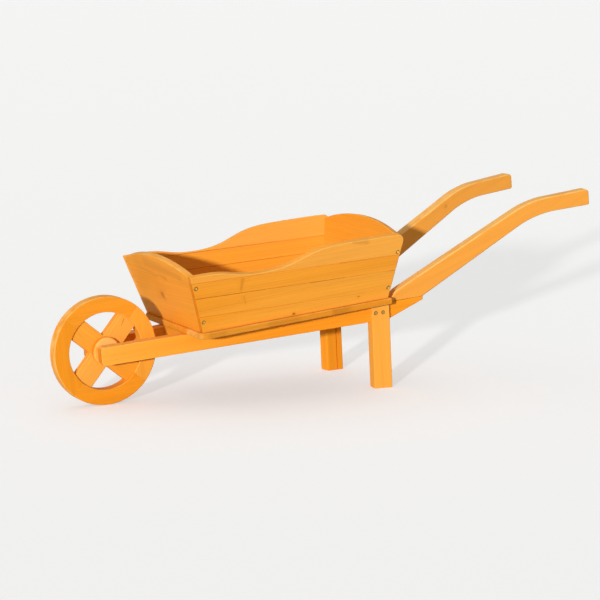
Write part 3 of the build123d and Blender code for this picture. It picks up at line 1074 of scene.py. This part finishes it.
# Rail screws: three countersunk steel screws down through the floor into each rail.
# They are like the legs' screws but longer, and their heads are seen from inside the tray.
rail_screw_length = 0.040
rail_screws_per_rail = 3
rail_screw_y = rail_outer_y - rail_thick / 2 / cos(splay)
rail_screw_places = []
for x in spread_out(rail_screws_per_rail):
    rail_screw_places.append(deck @ Matrix.Translation((x, -rail_screw_y - x * tan(splay), floor_top)))
drive_screws("rail_screws", rail_screw_length, rail_screw_places, *floor, *rails.values())

# Sides: four spruce boards each, glued edge to edge, that lean outwards and stand on the floor.
# They share an S-shaped top edge, low at the front and rising to the back, and a fine V along every joint.
wall_thick = 0.014
flare = radians(14)
wall_easing = 0.002
arris_easing = 0.0005
rim_front = 0.133
rim_dip = Vector((0.140, 0.116))
rim_crest = Vector((0.330, 0.1495))
rim_rear = 0.145
rim_rear_round = 0.015
rim_rear_straight = 0.026
rim_rear_pull = 2 / 3
rim_curve_steps = 14
seam_heights = (0.0285, 0.0725, 0.1085)
seam_tilt = radians(2.15)
seam_bevel = 0.0009
seam_grime = (0.14, 0.35, 0.25)
side_ruddy = (0.68, 0.68, 0.62, 0.60)
side_drift = -0.7
side_worn = (0.0, 0.0, 0.0, 0.2)
side_ends = {"left": 1.0, "right": 0.0}
front_wear = {"left": 0.0, "right": 1.8}
foot_line = 0.0020
left_wall = facing((tray_start, -half_foot, floor_top), (1, 0, 0), (0, cos(flare), sin(flare)))
overrun = rim_crest.y * sin(flare) + wall_thick
wall_bottom = -wall_thick * tan(flare)
front_end = Vector((-overrun, rim_front))
hollow_start = Vector((0, rim_front))
rear_end = Vector((tray_length + overrun, rim_rear))
rear_turn = Vector((tray_length, rim_crest.y))
rear_corner = Vector((tray_length + rim_rear * sin(flare), wall_thick / 2, rim_rear))
seam_up = Vector((sin(seam_tilt), 0, cos(seam_tilt)))


def level_curve(start, end):
    """Points of a curve that leaves one point level and reaches the other level, without the first."""
    middle = (start.x + end.x) / 2
    return interpolate_bezier(start, (middle, start.y), (middle, end.y), end, rim_curve_steps)[1:]


rear_guides = [end.lerp(rear_turn, rim_rear_pull) for end in (rim_crest, rear_end)]
rear_curve = interpolate_bezier(rim_crest, *rear_guides, rear_end, rim_curve_steps)[1:]
side_outline = [
    (-overrun, wall_bottom),
    front_end,
    hollow_start,
    *level_curve(hollow_start, rim_dip),
    *level_curve(rim_dip, rim_crest),
    *[point for point in rear_curve if point.x < rear_corner.x - rim_rear_straight],
    rear_end,
    (tray_length + overrun, wall_bottom),
]


def wall_cut(bm, wall, point, normal):
    """Saws a wall, still in its own place, along a plane of the tray."""
    into_wall = wall.inverted()
    saw(bm, into_wall @ Vector(point), into_wall.to_3x3() @ Vector(normal))


def side_panel():
    """The whole left side in the wall's own place, rounded over along its rim and down its back end."""
    downwards = -0.5
    forwards = -0.9
    bm = board([tuple(point) for point in side_outline], wall_thick)
    wall_cut(bm, left_wall, (tray_start, 0, floor_top), (-cos(flare), 0, -sin(flare)))
    wall_cut(bm, left_wall, (tray_end, 0, floor_top), (cos(flare), 0, -sin(flare)))
    wall_cut(bm, left_wall, (0, 0, floor_top), (0, 0, -1))
    by_distance = {}
    for edge in bm.edges:
        middle = edge.verts[0].co.lerp(edge.verts[1].co, 0.5)
        by_distance[(middle - rear_corner).length] = edge
    round_off(bm, by_distance[min(by_distance)], rim_rear_round)
    rounded = []
    for edge in broad_edges(bm):
        facing_out = sum((face.normal for face in edge.link_faces), Vector())
        if facing_out.z > downwards and facing_out.x > forwards:
            rounded.append(edge)
    ease(bm, rounded, wall_easing)
    return bm


def part_at_seam(bm, number, keep):
    """Saws a side along a joint, keeps what is below (1) or above (-1), and bevels the edges of the cut."""
    seam = Vector((tray_length / 2, 0, seam_heights[number]))
    saw(bm, seam, keep * seam_up)
    bm.normal_update()
    sawn = max(bm.faces, key=lambda face: face.normal.dot(keep * seam_up))
    made = bevel(bm, sawn.edges[:], seam_bevel, steps=1)
    at_seam = [vert for vert in made["verts"] if abs((vert.co - seam).dot(seam_up)) < seam_bevel / 2]
    mark(bm, "grime", seam_grime[number], at_seam)


def side_board(whole, number, wear):
    """A board of the left side in the wall's own place, counted from the floor up, with a worn front end."""
    bm = whole.copy()
    if number > 0:
        part_at_seam(bm, number - 1, -1)
    if number < len(seam_heights):
        part_at_seam(bm, number, 1)
    ease(bm, sharp_edges(bm), arris_easing, steps=2)
    bm.normal_update()
    mark(bm, "arris", wear, min(bm.faces, key=lambda face: face.normal.x).verts)
    return bm


left_knots = (
    [
        knot((0.2168, 0.0054), (0.2168, 0.0070), radius=0.0035, darkness=0.8, push=0.006),
        knot((0.3762, 0.0172), (0.3762, 0.0180), radius=0.0024, darkness=0.7, push=0.004),
        knot((0, 0), (tray_length, 0), foot_line, darkness=0.3),
    ],
    [knot((0.0949, 0.067), (0.1002, 0.0497), radius=0.0024, darkness=0.17, push=0.003)],
    [knot((0.0905, 0.108), (0.0872, 0.084), radius=0.0042, darkness=0.26, push=0.004)],
    [knot((0.391, 0.143), (0.356, 0.147), radius=0.006, darkness=0.25)],
)
seam_streak = 0.0014
seam_streaks = {
    1: ((0.145, -0.018, 0.24), (0.254, 0.340, 0.45), (0.466, 0.446, 0.40)),
    2: ((0.326, 0.475, 0.25),),
}


def streaks_beside(number):
    """The dark streaks along the joints below and above a board, from (start x, end x, darkness)."""
    streaks = []
    for seam in (number - 1, number):
        for start, end, darkness in seam_streaks.get(seam, ()):
            points = [(x, seam_heights[seam] - (x - tray_length / 2) * tan(seam_tilt)) for x in (start, end)]
            streaks.append(knot(*points, seam_streak, darkness))
    return streaks


whole_side = side_panel()
sides = []
for side, hand in hands.items():
    for number in range(len(seam_heights) + 1):
        place = hand @ deck @ left_wall
        bm = put(side_board(whole_side, number, front_wear[side]), place)
        plank = make_piece(f"side_{side}_board_{number + 1}", "timber", bm, "frame")
        knots = left_knots[number] + streaks_beside(number) if side == "left" else ()
        looks = {"worn": side_worn[number], "ends": side_ends[side], "drift": side_drift}
        stain(plank, place, side_ruddy[number], knots=knots, **looks)
        sides.append(plank)
whole_side.free()

# Front and back panels: one spruce board each, grain across, with an arched top and ends cut to the sides.
# They stand on the floor between the sides, lean outwards like them, and are screwed to both.
arch_rise = 0.025
arch_steps = 24
back_corner = 0.140
panel_ruddy = 0.60
panel_tone = -0.04
arch_top_sheen = 1.5
foot_depth = wall_thick / cos(flare)
front_wall = facing((tray_start, 0, floor_top), (0, -1, 0), (cos(flare), 0, sin(flare)))
back_wall = facing((tray_end, 0, floor_top), (0, 1, 0), (-cos(flare), 0, sin(flare)))


def end_panel(wall, corner_height):
    """An end panel in its wall's own place."""
    corner = half_foot - foot_depth + corner_height * sin(flare)
    radius = (corner**2 + arch_rise**2) / (2 * arch_rise)
    half_turn = asin((corner + wall_thick) / radius)
    outline = [(corner + wall_thick, wall_bottom), (-corner - wall_thick, wall_bottom)]
    for step in range(arch_steps + 1):
        turn = half_turn * (2 * step / arch_steps - 1)
        outline.append((radius * sin(turn), corner_height + arch_rise - radius + radius * cos(turn)))
    bm = board(outline, wall_thick)
    arch = [edge for edge in broad_edges(bm) if min(vert.co.z for vert in edge.verts) > rim_dip.y / 2]
    ease(bm, arch, wall_easing)
    wall_cut(bm, wall, (0, 0, floor_top), (0, 0, -1))
    for hand in hands.values():
        inner = hand @ left_wall @ Vector((0, wall_thick, 0))
        wall_cut(bm, wall, inner, hand.to_3x3() @ Vector((0, -cos(flare), -sin(flare))))
    ease(bm, sharp_edges(bm), arris_easing, steps=2)
    return bm


front_knots = [
    knot((-0.0135, 0.065), (-0.0095, 0.0585), radius=0.0085, darkness=0.50, push=0.010),
    knot((-0.020, 0.1095), (-0.093, 0.120), radius=0.0075, darkness=0.18),
    knot((-0.020, 0.1095), (0.004, 0.1135), radius=0.0070, darkness=0.18),
    knot((0.036, 0.1110), (0.004, 0.1135), radius=0.0070, darkness=0.22),
    knot((-0.050, 0.137), (0.120, 0.124), radius=0.018, darkness=0.20),
    knot((-0.080, 0.120), (-0.115, 0.070), radius=0.050, darkness=0.10),
    knot((half_foot, 0), (-half_foot, 0), foot_line, darkness=0.12),
]
back_knots = [knot((0.048, 0.085), (0.050, 0.083), radius=0.005, darkness=0.5, push=0.008)]
ends = []
for node, wall, corner_height, knots in (
    ("front_panel", front_wall, rim_front, front_knots),
    ("back_panel", back_wall, back_corner, back_knots),
):
    place = deck @ wall
    bm = put(end_panel(wall, corner_height), place)
    # The arched top gets a painted highlight along it.
    paint_top_sheen(bm, arch_top_sheen)
    panel = make_piece(node, "timber", bm, "frame")
    stain(panel, place, panel_ruddy, panel_tone, knots)
    ends.append(panel)

# Corner and floor screws: countersunk steel screws, plated like the others, that hold the four walls.
# They go through the sides into the end panels' edges, and up through the floor into the walls' feet.
corner_screw_length = 0.045
corner_screw_heights = (0.0245, 0.106)
floor_screw_length = 0.035
floor_screws_per_side = 3
front_screw_offset = 0.100
back_screw_offset = 0.060
head_down = Matrix.Rotation(pi, 4, "X")
corner_screw_places = []
for height in corner_screw_heights:
    for x in (foot_depth / 2 - height * sin(flare), tray_length - foot_depth / 2 + height * sin(flare)):
        corner_screw_places.append(deck @ left_wall @ Matrix.Translation((x, 0, height)) @ head_outwards)
drive_screws("corner_screws", corner_screw_length, corner_screw_places, *sides, *ends)

screw_inset = foot_depth / 2 - (floor_screw_length - floor_thick) / 2 * tan(flare)
floor_screw_spots = [
    (tray_start + screw_inset, -front_screw_offset),
    (tray_end - screw_inset, -back_screw_offset),
]
for x in spread_out(floor_screws_per_side):
    floor_screw_spots.append((x, -half_foot + screw_inset))
floor_screw_places = []
for x, y in floor_screw_spots:
    floor_screw_places.append(deck @ Matrix.Translation((x, y, rail_top)) @ head_down)
drive_screws("floor_screws", floor_screw_length, floor_screw_places, *floor, *sides, *ends)

# Shading: the timber's broad faces stay flat up to their rounded edges, and sawn or drilled corners crisp.
# This comes last, once every joint and hole is cut.
crisp = radians(38)
for piece in pieces:
    piece.data.shade_smooth()
    piece.data.set_sharp_from_angle(angle=crisp)
    flat = piece.modifiers.new("flat_faces", "WEIGHTED_NORMAL")
    flat.keep_sharp = True

# Studio: a plain pale floor and surround, with a low key light from the left front and a weak one overhead.
# The surround is brighter to look at than to be lit by, so that the object's shadows keep their depth.
camera_at = Vector((-2.5588, -4.8633, 1.1183))
camera_aim = Vector((-0.0282, 0, 0.1895))
camera_lens = 150
studio_radius = 60
studio_sides = 64
studio_pale = (0.60, 0.60, 0.59, 1)
studio_roughness = 0.9
white = (1, 1, 1, 1)
surround_light = 0.28
floor_glow = 0.45
sky_glow = 0.6
lights = (("key", (-0.6845, -0.7088, 0.1702), 3.05, 2.5), ("overhead", (0.1, 0.3, 0.95), 0.7, 70))


def seen_directly(tree):
    """One where the surround is looked at or mirrored, and nought where it lights something."""
    ray = add_node(tree, "LightPath", {}).outputs
    seen = maths(tree, "MAXIMUM", ray["Is Camera Ray"], ray["Is Glossy Ray"])
    return maths(tree, "MAXIMUM", seen, ray["Is Transmission Ray"])


for name, towards, strength, spread in lights:
    lamp = bpy.data.lights.new(name, "SUN")
    lamp.energy = strength
    lamp.angle = radians(spread)
    new_object(name, lamp).rotation_euler = Vector(towards).to_track_quat("Z", "Y").to_euler()

bm = bmesh.new()
bmesh.ops.create_circle(bm, cap_ends=True, segments=studio_sides, radius=studio_radius)
studio_floor = new_object("studio_floor", new_mesh("studio_floor", bm))
pale, tree = new_material("studio_pale")
matt = {
    "Base Color": studio_pale,
    "Roughness": studio_roughness,
    "Emission Color": white,
    "Emission Strength": maths(tree, "MULTIPLY", seen_directly(tree), floor_glow),
}
coat(tree, matt)
studio_floor.data.materials.append(pale)

world = bpy.data.worlds.new("surround")
world.use_nodes = True
bpy.context.scene.world = world
tree = world.node_tree
tree.nodes.clear()
sky_strength = maths(tree, "MULTIPLY_ADD", seen_directly(tree), sky_glow, surround_light)
sky = add_node(tree, "Background", {"Color": white, "Strength": sky_strength})
add_node(tree, "OutputWorld", {"Surface": sky.outputs["Background"]})

lens = bpy.data.cameras.new("camera")
lens.lens = camera_lens
camera = new_object("camera", lens)
camera.location = camera_at
camera.rotation_euler = (camera_aim - camera_at).to_track_quat("-Z", "Y").to_euler()
bpy.context.scene.camera = camera
bpy.context.scene.view_settings.view_transform = "Standard"

bpy.context.view_layer.update()
